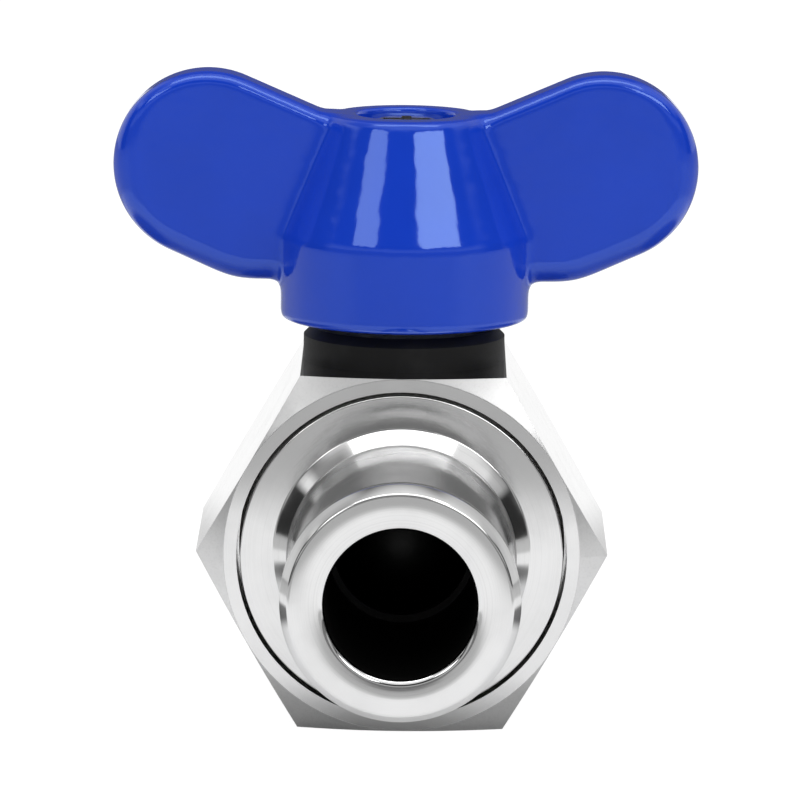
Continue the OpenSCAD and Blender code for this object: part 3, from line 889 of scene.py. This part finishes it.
def floor_material():
    """Pale floor, white to the camera with a faint shadow, and clear when seen from below.

    In mirrored rays it has painted shadows around the valve and below its wings, painted dimming
    further out, and a painted white glow behind it. Places are in metres from the stem.
    """
    material = bpy.data.materials.new("Pale floor")
    material.use_nodes = True
    graph = Graph(material.node_tree)
    material.node_tree.nodes.clear()
    path = graph.node("ShaderNodeLightPath")
    seen = Value(graph, path.outputs["Is Camera Ray"])
    glossy = Value(graph, path.outputs["Is Glossy Ray"])
    below = Value(graph, graph.node("ShaderNodeNewGeometry").outputs["Backfacing"])
    x, y, _ = graph.split(graph.out("ShaderNodeTexCoord", {}, {}, "Object"))
    reach = graph.length(x, y)
    # Painted dimming: in mirrored rays the floor is darker further out, less so to the sides.
    sideways = graph.ramp_between(abs(x) / reach, 0.6, 0.9)
    painted_far_dimming = graph.ramp_between(reach, 0.1, 0.128) * (0.53 - 0.15 * sideways)
    # Painted shadows in mirrored rays: around the valve, and two spots below the wings.
    shadow = 1.0 - graph.ramp_between(graph.length(x / 1.3, y - 0.025), 0.034, 0.052)
    beside = graph.length((abs(x) - 0.05) / 0.02, (y - 0.015) / 0.04)
    painted_wing_shadow = 1.0 - graph.ramp_between(beside, 0.6, 1.15)
    # Painted glow: behind the valve the floor drops its matt shade and glows white in mirrored
    # rays.
    back = graph.ramp_between(y - abs(x) * 3.0, 0.0, 0.05)
    level = (1.0 - painted_far_dimming) * (1.0 - 0.5 * shadow) * (1.0 - 0.8 * painted_wing_shadow) * (1.0 - back)
    shade = graph.mix_colour(graph.mix_number(glossy, 0.8, level), grey(0.0), grey(1.0))
    matt = graph.out("ShaderNodeBsdfDiffuse", {}, {"Color": shade})
    # Painted reflection: the white glow behind the valve, seen only in mirrored rays.
    glow = graph.out(
        "ShaderNodeEmission", {}, {"Color": grey(1.0), "Strength": 1.04 * back * glossy})
    indirect = graph.out("ShaderNodeAddShader", {}, {0: matt, 1: glow})
    pale = graph.out("ShaderNodeBsdfDiffuse", {}, {"Color": grey(0.2)})
    white = graph.out("ShaderNodeEmission", {}, {"Color": grey(1.0), "Strength": 0.93})
    to_camera = graph.out("ShaderNodeAddShader", {}, {0: pale, 1: white})
    shown = graph.out("ShaderNodeMixShader", {}, {0: seen, 1: indirect, 2: to_camera})
    clear = graph.out("ShaderNodeBsdfTransparent")
    either = graph.out("ShaderNodeMixShader", {}, {0: below, 1: shown, 2: clear})
    graph.node("ShaderNodeOutputMaterial", {}, {"Surface": either})
    return material


class VALVE_OT_stage(bpy.types.Operator):
    """Sets up the camera, the floor and the studio light"""

    bl_idname = "valve.stage"
    bl_label = "Stage"

    def execute(self, context):
        stage = context.scene.valve_stage
        pitch, yaw, roll = stage.camera_pitch, stage.camera_yaw, stage.camera_roll
        ahead = -heading(-yaw, pitch)
        right = ahead.cross(Vector((0, 0, 1))).normalized()
        up = right.cross(ahead)
        leaned = right * math.cos(roll) + up * math.sin(roll)
        upright = up * math.cos(roll) - right * math.sin(roll)
        data = bpy.data.cameras.new("Camera")
        data.lens, data.sensor_width = stage.lens, 36.0
        data.clip_start, data.clip_end = 0.01, 20.0
        camera = bpy.data.objects.new("Camera", data)
        context.scene.collection.objects.link(camera)
        turn = Matrix((leaned, upright, -ahead)).transposed().to_4x4()
        camera.matrix_world = Matrix.Translation(Vector(stage.camera_place)) @ turn
        context.scene.camera = camera

        half = stage.floor_size / 2
        mesh = bpy.data.meshes.new("floor")
        corners = [(-half, -half, 0), (half, -half, 0), (half, half, 0), (-half, half, 0)]
        mesh.from_pydata(corners, [], [(0, 1, 2, 3)])
        mesh.materials.append(floor_material())
        floor = bpy.data.objects.new("floor", mesh)
        context.scene.collection.objects.link(floor)

        studio_world(stage.fill_light)
        for name, turn, rise, distance, width, height, share in SOFT_BOXES:
            soft_box(name, turn, rise, distance, width, height, stage.box_light * share)
        context.scene.view_settings.view_transform = "Standard"
        return {"FINISHED"}


class VALVE_PT_panel(bpy.types.Panel):
    """Sizes, colours and builders of the valve"""

    bl_idname = "VALVE_PT_panel"
    bl_label = "Ball valve"
    bl_space_type = "VIEW_3D"
    bl_region_type = "UI"
    bl_category = "Valve"

    def draw(self, context):
        for key in SETTINGS:
            settings = getattr(context.scene, key)
            box = self.layout.box()
            for label in settings.__annotations__:
                box.prop(settings, label)
        for operator in OPERATORS:
            self.layout.operator(operator.bl_idname)


SETTINGS = {
    "valve_handle": HandleSizes,
    "valve_turned": TurnedSizes,
    "valve_finish": FinishColours,
    "valve_stage": StageSettings,
}
OPERATORS = (VALVE_OT_handle, VALVE_OT_front_tail, VALVE_OT_inner_parts, VALVE_OT_stage)


def register():
    for key, group in SETTINGS.items():
        bpy.utils.register_class(group)
        setattr(bpy.types.Scene, key, bpy.props.PointerProperty(type=group))
    for operator in OPERATORS:
        bpy.utils.register_class(operator)
    bpy.utils.register_class(VALVE_PT_panel)


def unregister():
    bpy.utils.unregister_class(VALVE_PT_panel)
    for operator in reversed(OPERATORS):
        bpy.utils.unregister_class(operator)
    for key, group in SETTINGS.items():
        delattr(bpy.types.Scene, key)
        bpy.utils.unregister_class(group)


def main():
    register()
    bpy.ops.valve.stage()
    bpy.ops.valve.handle()
    bpy.ops.valve.front_tail()
    bpy.ops.valve.inner_parts()


if __name__ == "__main__":
    main()
